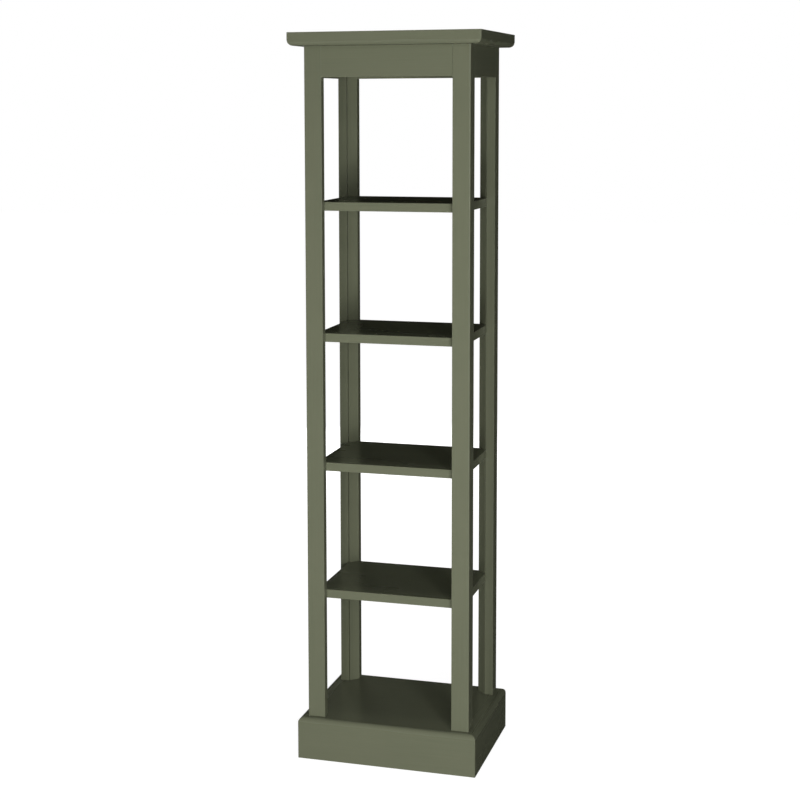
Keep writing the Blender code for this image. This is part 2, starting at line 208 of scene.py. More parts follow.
def quarter_round(radius: float, steps: int = ARC_STEPS) -> np.ndarray:
    """Points along an arris from the flat to the upright side.

    Formula: at angle a the inset is radius * (1 - sin a) and the drop is radius * (1 - cos a).

    Args:
        radius: the arris's radius.
        steps: how many chords it has.

    Returns:
        Rows of (inset, drop, how far round), the last being 0 at both ends and 1 in the middle.
    """
    share = np.linspace(0, 1, steps + 1)
    angle = share * np.pi / 2
    inset = radius * (1 - np.sin(angle))
    drop = radius * (1 - np.cos(angle))
    return np.stack([inset, drop, 4 * share * (1 - share)], axis=1)


def from_below(edge: np.ndarray, height: float) -> np.ndarray:
    """Rows of (inset, height, how far round) for an arris at a piece's lower face."""
    return edge + (0, height, 0)


def from_above(edge: np.ndarray, height: float) -> np.ndarray:
    """Rows of (inset, height, how far round) for an arris at a piece's upper face."""
    return edge[::-1] * (1, -1, 1) + (0, height, 0)


def moulded(
    corners: np.ndarray, radii: Sequence[float], profile: np.ndarray
) -> tuple[Shape, np.ndarray]:
    """An upright piece whose outline follows an edge profile.

    Formula: each row of the profile gives one ring, the outline drawn in by the row's inset at
    the row's height.

    Args:
        corners: the outline's corners in anticlockwise order.
        radii: each corner's radius.
        profile: rows of (inset, height, how far round its arris), rising.

    Returns:
        The shape, and each point's share of an arris.
    """
    outlines, round_corner = rounded_outlines(corners, radii, profile[:, 0])
    arris = np.maximum(profile[:, 2, None], round_corner[None])
    return loft(outlines, profile[:, 1], Grain.UPRIGHT), arris.ravel()


# Meshes


def add_mesh(name: str, shape: Shape) -> Object:
    """Puts one shape's arrays into a mesh object at the origin.

    Args:
        name: the object's name.
        shape: the points and the faces.

    Returns:
        The object, linked to the scene.
    """
    points, faces = shape
    mesh = bpy.data.meshes.new(name)
    mesh.from_pydata(points, [], faces)
    mesh.update()
    made = bpy.data.objects.new(name, mesh)
    bpy.context.scene.collection.objects.link(made)
    return made


def joined(shapes: Iterable[Shape]) -> Shape:
    """Puts separate closed shapes into one pair of arrays.

    Args:
        shapes: shapes that don't touch.

    Returns:
        Their points and faces together.
    """
    points: list[np.ndarray] = []
    faces: list[list[int]] = []
    start = 0
    for some_points, some_faces in shapes:
        points.append(some_points)
        faces += [[start + i for i in face] for face in some_faces]
        start += len(some_points)
    return np.concatenate(points), faces


def apply_modifiers(piece: Object) -> None:
    """Turns a piece's modifiers into its mesh.

    Args:
        piece: the piece, whose old mesh is dropped.
    """
    graph = bpy.context.evaluated_depsgraph_get()
    mesh = bpy.data.meshes.new_from_object(
        piece.evaluated_get(graph), preserve_all_data_layers=True, depsgraph=graph
    )
    piece.modifiers.clear()
    old = piece.data
    piece.data = mesh
    bpy.data.meshes.remove(old)
    mesh.name = piece.name


def carve(piece: Object, cuts: Sequence[Shape], raw: Material) -> None:
    """Cuts joints out of a piece and leaves their walls unpainted.

    Args:
        piece: the piece, with its finish.
        cuts: closed shapes that don't touch one another.
        raw: the finish of the cut walls.
    """
    tool = add_mesh(piece.name + "_cuts", joined(cuts))
    tool.data.materials.append(raw)
    cut = piece.modifiers.new("joints", "BOOLEAN")
    cut.operation = "DIFFERENCE"
    cut.solver = "EXACT"
    cut.material_mode = "TRANSFER"
    cut.object = tool
    apply_modifiers(piece)
    bpy.data.objects.remove(tool)


def smooth(piece: Object) -> None:
    """Shades arrises smooth and keeps flats flat, by weighing each face's normal by its area.

    Args:
        piece: the piece, with its final shape.
    """
    piece.data.shade_smooth()
    piece.data.set_sharp_from_angle(angle=SHARP_FROM)
    weigh = piece.modifiers.new("weigh_normals", "WEIGHTED_NORMAL")
    weigh.keep_sharp = True
    apply_modifiers(piece)


# Finishes


def linear(code: str) -> tuple[float, float, float, float]:
    """Turns an sRGB hex colour into linear values.

    Args:
        code: six hex digits after a hash.

    Returns:
        Linear red, green, blue and an alpha of 1.
    """
    values = np.array([int(code[i : i + 2], 16) / 255 for i in (1, 3, 5)])
    bent = np.where(values <= 0.04045, values / 12.92, ((values + 0.055) / 1.055) ** 2.4)
    return (*(float(v) for v in bent), 1.0)


def add_node(tree: NodeTree, kind: str, inputs: dict | None = None, **settings: object) -> Node:
    """Adds a node, sets its properties and fills its inputs.

    Args:
        tree: the node tree.
        kind: the node's type.
        inputs: values, or the sockets to link from, by input name or number.
        settings: properties of the node itself.

    Returns:
        The node.
    """
    made = tree.nodes.new(kind)
    for name, value in settings.items():
        setattr(made, name, value)
    for key, value in (inputs or {}).items():
        if isinstance(value, Socket):
            tree.links.new(value, made.inputs[key])
        else:
            made.inputs[key].default_value = value
    return made


def new_material(name: str) -> tuple[Material, NodeTree, Node]:
    """Starts a material.

    Args:
        name: its name.

    Returns:
        The material, its tree and its Principled shader.
    """
    made = bpy.data.materials.new(name)
    made.use_nodes = True
    return made, made.node_tree, made.node_tree.nodes["Principled BSDF"]


def bare_material(name: str) -> tuple[Material, NodeTree]:
    """Starts a material with no nodes.

    Args:
        name: its name.

    Returns:
        The material and its empty tree.
    """
    made, tree, _ = new_material(name)
    tree.nodes.clear()
    return made, tree


def stretched(tree: NodeTree, grain: Grain, along: float, across: float) -> Socket:
    """Object coordinates measured in pattern sizes, long with the grain.

    Args:
        tree: the material's tree.
        grain: the way the wood runs.
        along: the pattern's length with the grain, in metres.
        across: its width over the grain, in metres.

    Returns:
        The socket that gives them.
    """
    place = add_node(tree, "ShaderNodeTexCoord")
    scale = tuple(np.roll((1 / across, 1 / across, 1 / along), grain.value))
    return add_node(
        tree, "ShaderNodeMapping", {"Vector": place.outputs["Object"], "Scale": scale}
    ).outputs["Vector"]


@dataclass(frozen=True)
class SatinPaint:
    """Satin alkyd paint, laid off with the grain over primed poplar.

    It gives an even grey-green with a soft sheen, faint brush lines along each piece, a little
    unevenness where the coat is thicker, and arrises that are duller and painted a shade lighter:
    partly thin, worn paint and partly a painted highlight along the edges. Real brush lines and
    the skin's dimples are under a millimetre apart, too fine to show, so both are drawn coarser
    here.
    """

    tone: str = "#6c6f5b"
    thick_tone: str = "#686c58"
    # The arrises' lighter tone is partly worn paint and partly a painted highlight.
    arris_tone: str = "#6f725d"
    arris_wear_and_highlight: float = 0.8
    coat_span: tuple[float, float] = (0.12, 0.40)
    roughness: float = 0.24
    arris_roughness: float = 0.55
    sheen_spread: float = 0.03
    sheen_span: tuple[float, float] = (0.3, 0.7)
    brush_width: float = 2.5 * MM
    brush_length: float = 220 * MM
    brush_depth: float = 0.05 * MM
    patch_size: float = 130 * MM
    peel_size: float = 1.6 * MM
    peel_depth: float = 0.04 * MM
    ior: float = 1.48

    def material(self, grain: Grain) -> Material:
        """Builds the paint for pieces whose wood runs one way.

        Args:
            grain: the way the brush was laid off.

        Returns:
            The material.
        """
        made, tree, shader = new_material("satin_paint_" + grain.name.lower())
        brush = add_node(
            tree, "ShaderNodeTexNoise",
            {
                "Vector": stretched(tree, grain, self.brush_length, self.brush_width),
                "Scale": 1.0, "Detail": 2.0, "Roughness": 0.5,
            },
        )
        patch = add_node(
            tree, "ShaderNodeTexNoise",
            {
                "Vector": stretched(tree, grain, 2 * self.patch_size, self.patch_size),
                "Scale": 1.0, "Detail": 3.0, "Roughness": 0.55,
            },
        )
        peel = add_node(
            tree, "ShaderNodeTexNoise",
            {
                "Vector": stretched(tree, grain, self.peel_size, self.peel_size),
                "Scale": 1.0, "Detail": 1.0,
            },
        )
        uneven = add_node(
            tree, "ShaderNodeMath", {0: brush.outputs["Fac"], 1: patch.outputs["Fac"]},
            operation="MULTIPLY",
        )
        thick = add_node(
            tree, "ShaderNodeMapRange",
            {
                "Value": uneven.outputs[0],
                "From Min": self.coat_span[0], "From Max": self.coat_span[1],
            },
        )
        coat = add_node(
            tree, "ShaderNodeMix",
            {"Factor": thick.outputs[0], "A": linear(self.tone), "B": linear(self.thick_tone)},
            data_type="RGBA",
        )
        arris = add_node(tree, "ShaderNodeAttribute", attribute_name="arris")
        # Arris mask: makes the arrises rougher, and lighter in colour, partly for worn paint and
        # partly as a painted highlight.
        sanded_and_highlit = add_node(
            tree, "ShaderNodeMath", {0: arris.outputs["Fac"], 1: self.arris_wear_and_highlight},
            operation="MULTIPLY", use_clamp=True,
        )
        colour = add_node(
            tree, "ShaderNodeMix",
            {
                "Factor": sanded_and_highlit.outputs[0], "A": coat.outputs["Result"],
                "B": linear(self.arris_tone),
            },
            data_type="RGBA",
        )
        sheen = add_node(
            tree, "ShaderNodeMapRange",
            {
                "Value": patch.outputs["Fac"],
                "From Min": self.sheen_span[0], "From Max": self.sheen_span[1],
                "To Min": self.roughness - self.sheen_spread,
                "To Max": self.roughness + self.sheen_spread,
            },
        )
        rough = add_node(
            tree, "ShaderNodeMix",
            {0: sanded_and_highlit.outputs[0], 2: sheen.outputs[0], 3: self.arris_roughness},
        )
        ridges = add_node(
            tree, "ShaderNodeBump",
            {"Strength": 0.35, "Distance": self.brush_depth, "Height": brush.outputs["Fac"]},
        )
        skin = add_node(
            tree, "ShaderNodeBump",
            {
                "Strength": 0.25, "Distance": self.peel_depth, "Height": peel.outputs["Fac"],
                "Normal": ridges.outputs[0],
            },
        )
        tree.links.new(colour.outputs["Result"], shader.inputs["Base Color"])
        tree.links.new(rough.outputs[0], shader.inputs["Roughness"])
        tree.links.new(skin.outputs[0], shader.inputs["Normal"])
        shader.inputs["IOR"].default_value = self.ior
        return made


@dataclass(frozen=True)
class RawWood:
    """Planed softwood or turned beech with no finish.

    It gives pale growth bands along the piece, fine darker fibres between them and no gloss.
    """

    name: str
    early: str
    late: str
    band_width: float
    roughness: float = 0.75
    band_stretch: float = 60.0
    band_span: tuple[float, float] = (0.40, 0.62)
    fibre_width: float = 0.5 * MM
    fibre_length: float = 12 * MM
    fibre_depth: float = 0.1 * MM
    fibre_shade: tuple[float, float] = (0.82, 1.12)

    def material(self, grain: Grain) -> Material:
        """Builds the wood for pieces that run one way.

        Args:
            grain: the way the wood runs.

        Returns:
            The material.
        """
        made, tree, shader = new_material(f"{self.name}_{grain.name.lower()}")
        band_length = self.band_stretch * self.band_width
        bands = add_node(
            tree, "ShaderNodeTexNoise",
            {
                "Vector": stretched(tree, grain, band_length, self.band_width),
                "Scale": 1.0, "Detail": 1.0, "Distortion": 0.6,
            },
        )
        fibre = add_node(
            tree, "ShaderNodeTexNoise",
            {
                "Vector": stretched(tree, grain, self.fibre_length, self.fibre_width),
                "Scale": 1.0, "Detail": 2.0,
            },
        )
        band = add_node(
            tree, "ShaderNodeMapRange",
            {
                "Value": bands.outputs["Fac"],
                "From Min": self.band_span[0], "From Max": self.band_span[1],
            },
        )
        mixed = add_node(
            tree, "ShaderNodeMix",
            {"Factor": band.outputs[0], "A": linear(self.early), "B": linear(self.late)},
            data_type="RGBA",
        )
        shade = add_node(
            tree, "ShaderNodeMapRange",
            {
                "Value": fibre.outputs["Fac"],
                "To Min": self.fibre_shade[0], "To Max": self.fibre_shade[1],
            },
        )
        colour = add_node(
            tree, "ShaderNodeVectorMath",
            {0: mixed.outputs["Result"], 1: shade.outputs[0]}, operation="MULTIPLY",
        )
        ridge = add_node(
            tree, "ShaderNodeBump",
            {"Strength": 0.4, "Distance": self.fibre_depth, "Height": fibre.outputs["Fac"]},
        )
        tree.links.new(colour.outputs[0], shader.inputs["Base Color"])
        tree.links.new(ridge.outputs[0], shader.inputs["Normal"])
        shader.inputs["Roughness"].default_value = self.roughness
        return made


@dataclass(frozen=True)
class ZincPlate:
    """Bright zinc plating on a steel wood screw.

    It gives a pale cool metal with fine cloudy spangle and a dull sheen.
    """

    bright: str = "#c3c6c9"
    dull: str = "#9fa3a8"
    spangle: float = 0.8 * MM
    roughness: float = 0.34
    roughness_spread: float = 0.08

    def material(self) -> Material:
        """Builds the plating.

        Returns:
            The material.
        """
        made, tree, shader = new_material("zinc_plated_steel")
        cloud = add_node(
            tree, "ShaderNodeTexNoise",
            {
                "Vector": stretched(tree, Grain.UPRIGHT, self.spangle, self.spangle),
                "Scale": 1.0, "Detail": 3.0,
            },
        )
        colour = add_node(
            tree, "ShaderNodeMix",
            {"Factor": cloud.outputs["Fac"], "A": linear(self.bright), "B": linear(self.dull)},
            data_type="RGBA",
        )
        rough = add_node(
            tree, "ShaderNodeMapRange",
            {
                "Value": cloud.outputs["Fac"],
                "To Min": self.roughness - self.roughness_spread,
                "To Max": self.roughness + self.roughness_spread,
            },
        )
        tree.links.new(colour.outputs["Result"], shader.inputs["Base Color"])
        tree.links.new(rough.outputs[0], shader.inputs["Roughness"])
        shader.inputs["Metallic"].default_value = 1.0
        return made


class Finishes:
    """Every finish of the cabinet, each material made once."""

    def __init__(self) -> None:
        """Builds the materials."""
        paint = SatinPaint()
        pine = RawWood("planed_pine", "#d9bd8d", "#b98f58", 3.0 * MM)
        beech = RawWood("turned_beech", "#cfa57c", "#b98a61", 1.2 * MM, 0.6)
        self.paint = {grain: paint.material(grain) for grain in Grain}
        self.pine = {grain: pine.material(grain) for grain in Grain}
        self.beech = beech.material(Grain.UPRIGHT)
        self.zinc = ZincPlate().material()


# Sub-assemblies


@dataclass
class Joinery:
    """The hidden holes that dowels, screws and tenons sit in, found from the frame's nodes."""

    fit_gap: float = 0.3 * MM
    blind_gap: float = 0.5 * MM
    paint_fill: float = 0.25 * MM
    shelf_count: int = 4
    dowel_radius: float = 4.0 * MM
    dowel_length: float = 40.0 * MM
    tenon_length: float = 22.0 * MM
    tenon_shoulder: float = 12.0 * MM
    tenon_near: float = 6.0 * MM
    tenon_far: float = 16.0 * MM
    screw_rim: float = 0.5 * MM
    post_screw_shank: float = 3 * MM
    post_screw_head: float = 6 * MM
    batten_screw_shank: float = 2 * MM
    batten_screw_head: float = 4 * MM

    def dowel_bore(self, shelf: int, corner: Corner) -> Shape:
        """The bore of one shelf dowel.

        Args:
            shelf: the shelf's number, from 1 at the lowest.
            corner: the corner that the dowel is in.

        Returns:
            A closed cylinder on the diagonal of that corner.
        """
        low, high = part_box(f"shelf_dowel_{shelf}_{corner.word}")
        way = Vector((-corner.value[0], -corner.value[1], 0)).normalized()
        half = self.dowel_length / 2 + self.blind_gap
        radius = self.dowel_radius + self.fit_gap
        return turned(np.array([(radius, -half), (radius, half)]), (low + high) / 2, way)

    def screw_bore(self, node: str, way: Vector, shank: float, head: float) -> Shape:
        """The countersunk hole of one screw.

        Args:
            node: the screw's node.
            way: the direction that its point faces.
            shank: the shank's radius.
            head: the head's radius.

        Returns:
            A closed turned shape that starts just outside the head's face.
        """
        low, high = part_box(node)
        length = abs((high - low).dot(way))
        face = (low + high) / 2 - way * length / 2
        rim = self.screw_rim + self.fit_gap
        profile = np.array(
            [
                (head + self.fit_gap, -2 * self.fit_gap),
                (head + self.fit_gap, rim),
                (shank + self.fit_gap, rim + head - shank),
                (shank + self.fit_gap, length + self.blind_gap),
            ]
        )
        return turned(profile, face, way)

    def post_screw_bore(self, corner: Corner) -> Shape:
        """The hole of the screw that runs up through the base board into a post."""
        node = f"post_screw_{corner.word}"
        return self.screw_bore(node, UP, self.post_screw_shank, self.post_screw_head)

    def batten_screw_bores(self, name: str, way: Vector) -> list[Shape]:
        """The holes of the front and the back screw that run one way out of a batten."""
        sizes = (self.batten_screw_shank, self.batten_screw_head)
        return [self.screw_bore(f"{name}_{end}", way, *sizes) for end in ("front", "back")]


@dataclass
class PaintedPieces:
    """What every painted sub-assembly does with its pieces."""

    finishes: Finishes
    joinery: Joinery

    def add(
        self, node: str, shape: Shape, arris: np.ndarray, grain: Grain, cuts: Sequence[Shape] = ()
    ) -> None:
        """Makes one painted piece in the place of its node, riding on the frame.

        Args:
            node: the frame's node that the piece stands for.
            shape: the piece's surface.
            arris: each point's share of an arris.
            grain: the way the piece's wood runs.
            cuts: the joints to cut out of it.
        """
        piece = add_mesh(node + "_painted", shape)
        share = piece.data.attributes.new("arris", "FLOAT", "POINT")
        share.data.foreach_set("value", np.asarray(arris, np.float32))
        piece.data.materials.append(self.finishes.paint[grain])
        if cuts:
            carve(piece, cuts, self.finishes.pine[grain])
        smooth(piece)
        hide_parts(node)
        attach(piece, BODY)
        LOG.info("%s: %d faces", piece.name, len(piece.data.polygons))


@dataclass
class TopBoard(PaintedPieces):
    """The thick top board: an upright edge, a fine quirk and a quarter round under it."""

    ovolo: float = 13.0 * MM
    ovolo_steps: int = 10
    # How much of the arris mark the ovolo gets: worn paint and painted highlight.
    ovolo_wear_and_highlight: float = 0.25
    quirk: float = 0.8 * MM
    arris: float = 1.2 * MM
    corner_radius: float = 2.0 * MM

    def build(self) -> None:
        """Moulds the board from its underside up and bores it for the batten screws."""
        low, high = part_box("top_board")
        under = from_below(quarter_round(self.ovolo, self.ovolo_steps), low.z)
        under = (under + (self.quirk, 0, 0)) * (1, 1, self.ovolo_wear_and_highlight)
        edge = np.array([(0.0, low.z + self.ovolo, 0.0)])
        profile = np.concatenate([under, edge, from_above(quarter_round(self.arris), high.z)])
        shape, arris = moulded(rectangle(low, high), [self.corner_radius] * 4, profile)
        cuts: list[Shape] = []
        for side in ("left", "right"):
            cuts += self.joinery.batten_screw_bores(f"top_screw_{side}", UP)
        self.add("top_board", shape, arris, Grain.ALONG_X, cuts)


@dataclass
class Posts(PaintedPieces):
    """The four corner posts, square with the inner corner chamfered over their whole height."""

    chamfer: float = 24.0 * MM
    arris: float = 3.0 * MM
    joint_arris: float = 0.8 * MM
    chamfer_arris: float = 1.0 * MM
    end_arris: float = 0.3 * MM
    groove_place: float = 1.0 * MM
    groove_width: float = 3.0 * MM
    groove_depth: float = 5.0 * MM
    groove_lip: float = 0.3 * MM

    def outline(
        self, low: Vector, high: Vector, corner: Corner
    ) -> tuple[np.ndarray, list[float]]:
        """A post's section, with a fine groove in the chamfer beside its front or back arris.

        Formula: with t along the chamfer and n square into it, the groove's corners are the
        chamfer's end plus t times its place or its far side, plus n times 0 or its depth.

        Args:
            low: the lowest corner of the post's box.
            high: the highest corner.
            corner: which corner it stands in.

        Returns:
            The corners in anticlockwise order, and each one's radius.
        """
        sx, sy = corner.value
        side = high.x - low.x
        flat = side - self.chamfer
        outer = np.array((high.x if sx > 0 else low.x, high.y if sy > 0 else low.y))
        along = np.array((1, -1)) / math.sqrt(2)
        deep = np.array((-1, -1)) / math.sqrt(2) * self.groove_depth
        near = np.array((flat, side)) + self.groove_place * along
        far = near + self.groove_width * along
        groove = [far, far + deep, near + deep, near]
        plan = np.array([(0, 0), (side, 0), (side, flat), *groove, (flat, side), (0, side)])
        points = outer - plan * (sx, sy)
        radii = [
            self.arris, self.joint_arris, self.chamfer_arris,
            self.groove_lip, LEAST_RADIUS, LEAST_RADIUS, self.groove_lip,
            self.chamfer_arris, self.joint_arris,
        ]
        return (points, radii) if sx * sy > 0 else (points[::-1], radii[::-1])

    def mortises(self, low: Vector, high: Vector, corner: Corner) -> list[Shape]:
        """The pockets for the tenons of the two aprons that meet in a post.

        Args:
            low: the lowest corner of the post's box.
            high: the highest corner.
            corner: which corner it stands in.

        Returns:
            The pocket along x and the pocket along y.
        """
        fit = self.joinery
        gap = fit.fit_gap
        outer = Vector([low[i] if s < 0 else high[i] for i, s in enumerate(corner.value)])
        side = high.x - low.x
        across = (fit.tenon_near - gap, fit.tenon_far + gap)
        reach = (side - fit.tenon_length - fit.blind_gap, side + gap)
        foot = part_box("apron_front")[0].z + fit.tenon_shoulder - gap
        head = high.z - fit.tenon_shoulder + 2 * gap
        pockets = []
        for spans in ((reach, across), (across, reach)):
            xs, ys = (sorted(outer[i] - corner.value[i] * d for d in spans[i]) for i in (0, 1))
            pockets.append(block((xs[0], ys[0], foot), (xs[1], ys[1], head)))
        return pockets

    def build(self) -> None:
        """Draws each post up from its foot and cuts its mortises and bores."""
        for corner in Corner:
            node = f"post_{corner.word}"
            low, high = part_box(node)
            end = quarter_round(self.end_arris, END_STEPS)
            profile = np.concatenate([from_below(end, low.z), from_above(end, high.z)])
            shape, arris = moulded(*self.outline(low, high, corner), profile)
            cuts = self.mortises(low, high, corner)
            for number in range(1, self.joinery.shelf_count + 1):
                cuts.append(self.joinery.dowel_bore(number, corner))
            cuts.append(self.joinery.post_screw_bore(corner))
            self.add(node, shape, arris, Grain.UPRIGHT, cuts)


@dataclass
class Aprons(PaintedPieces):
    """The four aprons under the top board, each with a tenon at both ends."""

    lower_arris: float = 1.0 * MM
    upper_arris: float = 0.3 * MM
    tenon_end: float = 0.6 * MM

    def tenon_ring(self, low: np.ndarray, high: np.ndarray, radius: float) -> np.ndarray:
        """One ring of a tenon's section, with the same radius at its four corners."""
        return rounded_outlines(rectangle(low, high), [radius] * 4, [0.0])[0][0]

    def build_one(self, node: str, grain: Grain, cuts: Sequence[Shape] = ()) -> None:
        """Lofts one apron from tenon to tenon.

        Formula: the rings are the tip, the tenon twice, the board twice, the tenon twice and the
        tip. A tenon's ring and a board's ring at one station make the shoulder between them.

        Args:
            node: the apron's node.
            grain: the axis that it runs along.
            cuts: the joints to cut out of it.
        """
        low, high = np.roll(np.array(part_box(node)), -grain.value, axis=1)
        lower, upper, end = self.lower_arris, self.upper_arris, self.tenon_end
        margin = np.array((self.joinery.tenon_near, self.joinery.tenon_shoulder))
        radii = [lower, lower, upper, upper]
        if grain is Grain.ALONG_Y:
            margin = margin[::-1]
            radii = [lower, upper, upper, lower]
        (board,), bend = rounded_outlines(rectangle(low, high), radii, [0.0])
        tenon_low, tenon_high = low[:2] + margin, high[:2] - margin
        tenon = self.tenon_ring(tenon_low, tenon_high, end)
        tip = self.tenon_ring(tenon_low + end, tenon_high - end, end / 2)
        rings = np.stack([tip, tenon, tenon, board, board, tenon, tenon, tip])
        is_board = np.array([0, 0, 0, 1, 1, 0, 0, 0])[:, None]
        reach = high[2]
        root = reach - self.joinery.tenon_length + self.joinery.paint_fill
        places = np.array([-reach, -reach + end, -root, -root])
        shape = loft(rings, np.concatenate([places, -places[::-1]]), grain)
        self.add(node, shape, (is_board * bend).ravel(), grain, cuts)

    def build(self) -> None:
        """Builds the front and back aprons, then the side ones, bored for the batten screws."""
        for side in ("front", "back"):
            self.build_one(f"apron_{side}", Grain.ALONG_X)
        for side, sx in (("left", -1), ("right", 1)):
            cuts = self.joinery.batten_screw_bores(f"batten_screw_{side}", Vector((sx, 0, 0)))
            self.build_one(f"apron_{side}", Grain.ALONG_Y, cuts)


@dataclass
class Shelves(PaintedPieces):
    """The shelves, with corners clipped to butt against the posts' chamfers."""

    clip: float = 24.424 * MM
    clip_arris: float = 0.4 * MM
    arris: float = 1.2 * MM

    def outline(self, low: Vector, high: Vector) -> np.ndarray:
        """A shelf's eight corners in anticlockwise order."""
        clip = self.clip
        return np.array(
            [
                (low.x + clip, low.y), (high.x - clip, low.y),
                (high.x, low.y + clip), (high.x, high.y - clip),
                (high.x - clip, high.y), (low.x + clip, high.y),
                (low.x, high.y - clip), (low.x, low.y + clip),
            ]
        )

    def build(self) -> None:
        """Builds each shelf with eased edges and a dowel bore in each corner."""
        for number in range(1, self.joinery.shelf_count + 1):
            node = f"shelf_{number}"
            low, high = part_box(node)
            corners = self.outline(low, high)
            edge = quarter_round(self.arris)
            profile = np.concatenate([from_below(edge, low.z), from_above(edge, high.z)])
            shape, arris = moulded(corners, [self.clip_arris] * len(corners), profile)
            cuts = [self.joinery.dowel_bore(number, corner) for corner in Corner]
            self.add(node, shape, arris, Grain.ALONG_X, cuts)


@dataclass
class Plinth(PaintedPieces):
    """The base: a round-nosed board on four mitred upright boards."""

    nose: float = 14.0 * MM
    nose_steps: int = 12
    # How much of the arris mark the nose gets: worn paint and painted highlight.
    nose_wear_and_highlight: float = 0.3
    corner_radius: float = 2.0 * MM
    corner_points: int = 4
    thickness: float = 22.0 * MM
    end_arris: float = 0.4 * MM

    def build_base_board(self) -> None:
        """Moulds the board that the posts stand on and bores it for their screws."""
        low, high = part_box("base_board")
        nose = from_above(quarter_round(self.nose, self.nose_steps), high.z)
        foot = np.array([(0.0, low.z - self.joinery.paint_fill, 0.0)])
        profile = np.concatenate([foot, nose * (1, 1, self.nose_wear_and_highlight)])
        shape, arris = moulded(rectangle(low, high), [self.corner_radius] * 4, profile)
        cuts = [self.joinery.post_screw_bore(corner) for corner in Corner]
        self.add("base_board", shape, arris, Grain.ALONG_X, cuts)

    def mitred_outline(self, half: float, face: float) -> np.ndarray:
        """One plinth board's plan, drawn facing +Y.

        Formula: from the mitre's inner end out along the mitre to the corner's arc, whose points
        are its centre plus radius * (cos a, sin a) from 45 to 90 degrees, then the mirror image.

        Args:
            half: half the base's size along the board.
            face: how far the board's face is from the middle.

        Returns:
            Corners in anticlockwise order.
        """
        slack = self.joinery.fit_gap / math.sqrt(2)
        angle = np.radians(np.linspace(45, 90, self.corner_points))
        radius = self.corner_radius
        arc = np.stack([np.cos(angle), np.sin(angle)], axis=1) * radius
        arc += (half - slack - radius, face - radius)
        inner = np.array([[half - slack - self.thickness, face - self.thickness]])
        right = np.concatenate([inner, arc])
        return np.concatenate([right, right[::-1] * (-1, 1)])

    def build(self) -> None:
        """Builds the base board, then the four plinth boards, whose corners aren't sanded."""
        self.build_base_board()
        _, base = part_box("base_board")
        boards = (
            ("front", 180, Grain.ALONG_X), ("back", 0, Grain.ALONG_X),
            ("left", 90, Grain.ALONG_Y), ("right", -90, Grain.ALONG_Y),
        )
        for side, degrees, grain in boards:
            node = f"plinth_{side}"
            low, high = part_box(node)
            half, face = (base.x, base.y) if grain is Grain.ALONG_X else (base.y, base.x)
            turn = np.array(Matrix.Rotation(math.radians(degrees), 2))
            corners = self.mitred_outline(half, face) @ turn.T
            foot = from_below(quarter_round(self.end_arris, END_STEPS), low.z)
            profile = np.concatenate([foot, [(0.0, high.z, 0.0)]])
            shape, arris = moulded(corners, [LEAST_RADIUS] * len(corners), profile)
            arris = np.repeat(profile[:, 2], len(arris) // len(profile))
            self.add(node, shape, arris, grain)


@dataclass
class HiddenPieces:
    """The dowels, blocks, battens and screws, which keep their solids."""

    finishes: Finishes

    def finish_for(self, node: str) -> Material:
        """The finish of one hidden piece.

        Args:
            node: the piece's node.

        Returns:
            Its material.
        """
        if "screw" in node:
            return self.finishes.zinc
        if "dowel" in node:
            return self.finishes.beech
        return self.finishes.pine[Grain.ALONG_Y if "batten" in node else Grain.UPRIGHT]

    def dress(self, nodes: dict[str, Object]) -> None:
        """Gives each hidden piece its finish in its own material slot.

        Args:
            nodes: the frame's objects by node.
        """
        for node, piece in nodes.items():
            if any(word in node for word in ("screw", "dowel", "block", "batten")):
                piece.material_slots[0].material = self.finish_for(node)
                LOG.info("%s: %s", node, piece.material_slots[0].material.name)


# Studio


@dataclass(frozen=True)
class Softbox:
    """A soft lamp that faces a point on the cabinet's middle line.

    One that is not in gloss lights the paint without being mirrored in it.
    """

    name: str
    azimuth: float
    height: float
    distance: float
    width: float
    tall: float
    watts: float
    in_gloss: bool = True
    aim: float = 1.0

    def place(self) -> None:
        """Hangs the lamp, its azimuth in degrees to the right of the front."""
        lamp = bpy.data.lights.new(self.name, "AREA")
        lamp.shape = "RECTANGLE"
        lamp.size = self.width
        lamp.size_y = self.tall
        lamp.energy = self.watts
        made = bpy.data.objects.new(self.name, lamp)
        made.visible_glossy = self.in_gloss
        bpy.context.scene.collection.objects.link(made)
        turn = math.radians(self.azimuth)
        made.location = (
            self.distance * math.sin(turn), -self.distance * math.cos(turn), self.height
        )
        towards = Vector((0, 0, self.aim)) - made.location
        made.rotation_euler = towards.to_track_quat("-Z", "Y").to_euler()


@dataclass(frozen=True)
class Portrait:
    """The camera, with its lens and the picture's centre in pixels of an 800 by 800 frame."""

    place: tuple[float, float, float] = (1.16843, -4.26263, 1.72040)
    yaw: float = 17.1270
    pitch: float = -6.2289
    roll: float = -0.2547
    focal_pixels: float = 1687.71
    centre_x: float = 351.26
    centre_y: float = 287.76
    frame_pixels: float = 800.0
    sensor: float = 36.0

    def take(self) -> None:
        """Sets up the camera."""
        yaw, pitch, roll = (math.radians(a) for a in (self.yaw, self.pitch, self.roll))
        ahead = Vector(
            (-math.sin(yaw) * math.cos(pitch), math.cos(yaw) * math.cos(pitch), math.sin(pitch))
        )
        level = Vector((math.cos(yaw), math.sin(yaw), 0))
        upward = level.cross(ahead)
        right = level * math.cos(roll) + upward * math.sin(roll)
        above = upward * math.cos(roll) - level * math.sin(roll)
        lens = bpy.data.cameras.new("portrait")
        lens.sensor_width = self.sensor
        lens.lens = self.focal_pixels * self.sensor / self.frame_pixels
        lens.shift_x = 0.5 - self.centre_x / self.frame_pixels
        lens.shift_y = self.centre_y / self.frame_pixels - 0.5
        made = bpy.data.objects.new("portrait", lens)
        turn = Matrix((right, above, -ahead)).transposed().to_4x4()
        made.matrix_world = Matrix.Translation(self.place) @ turn
        bpy.context.scene.collection.objects.link(made)
        bpy.context.scene.camera = made


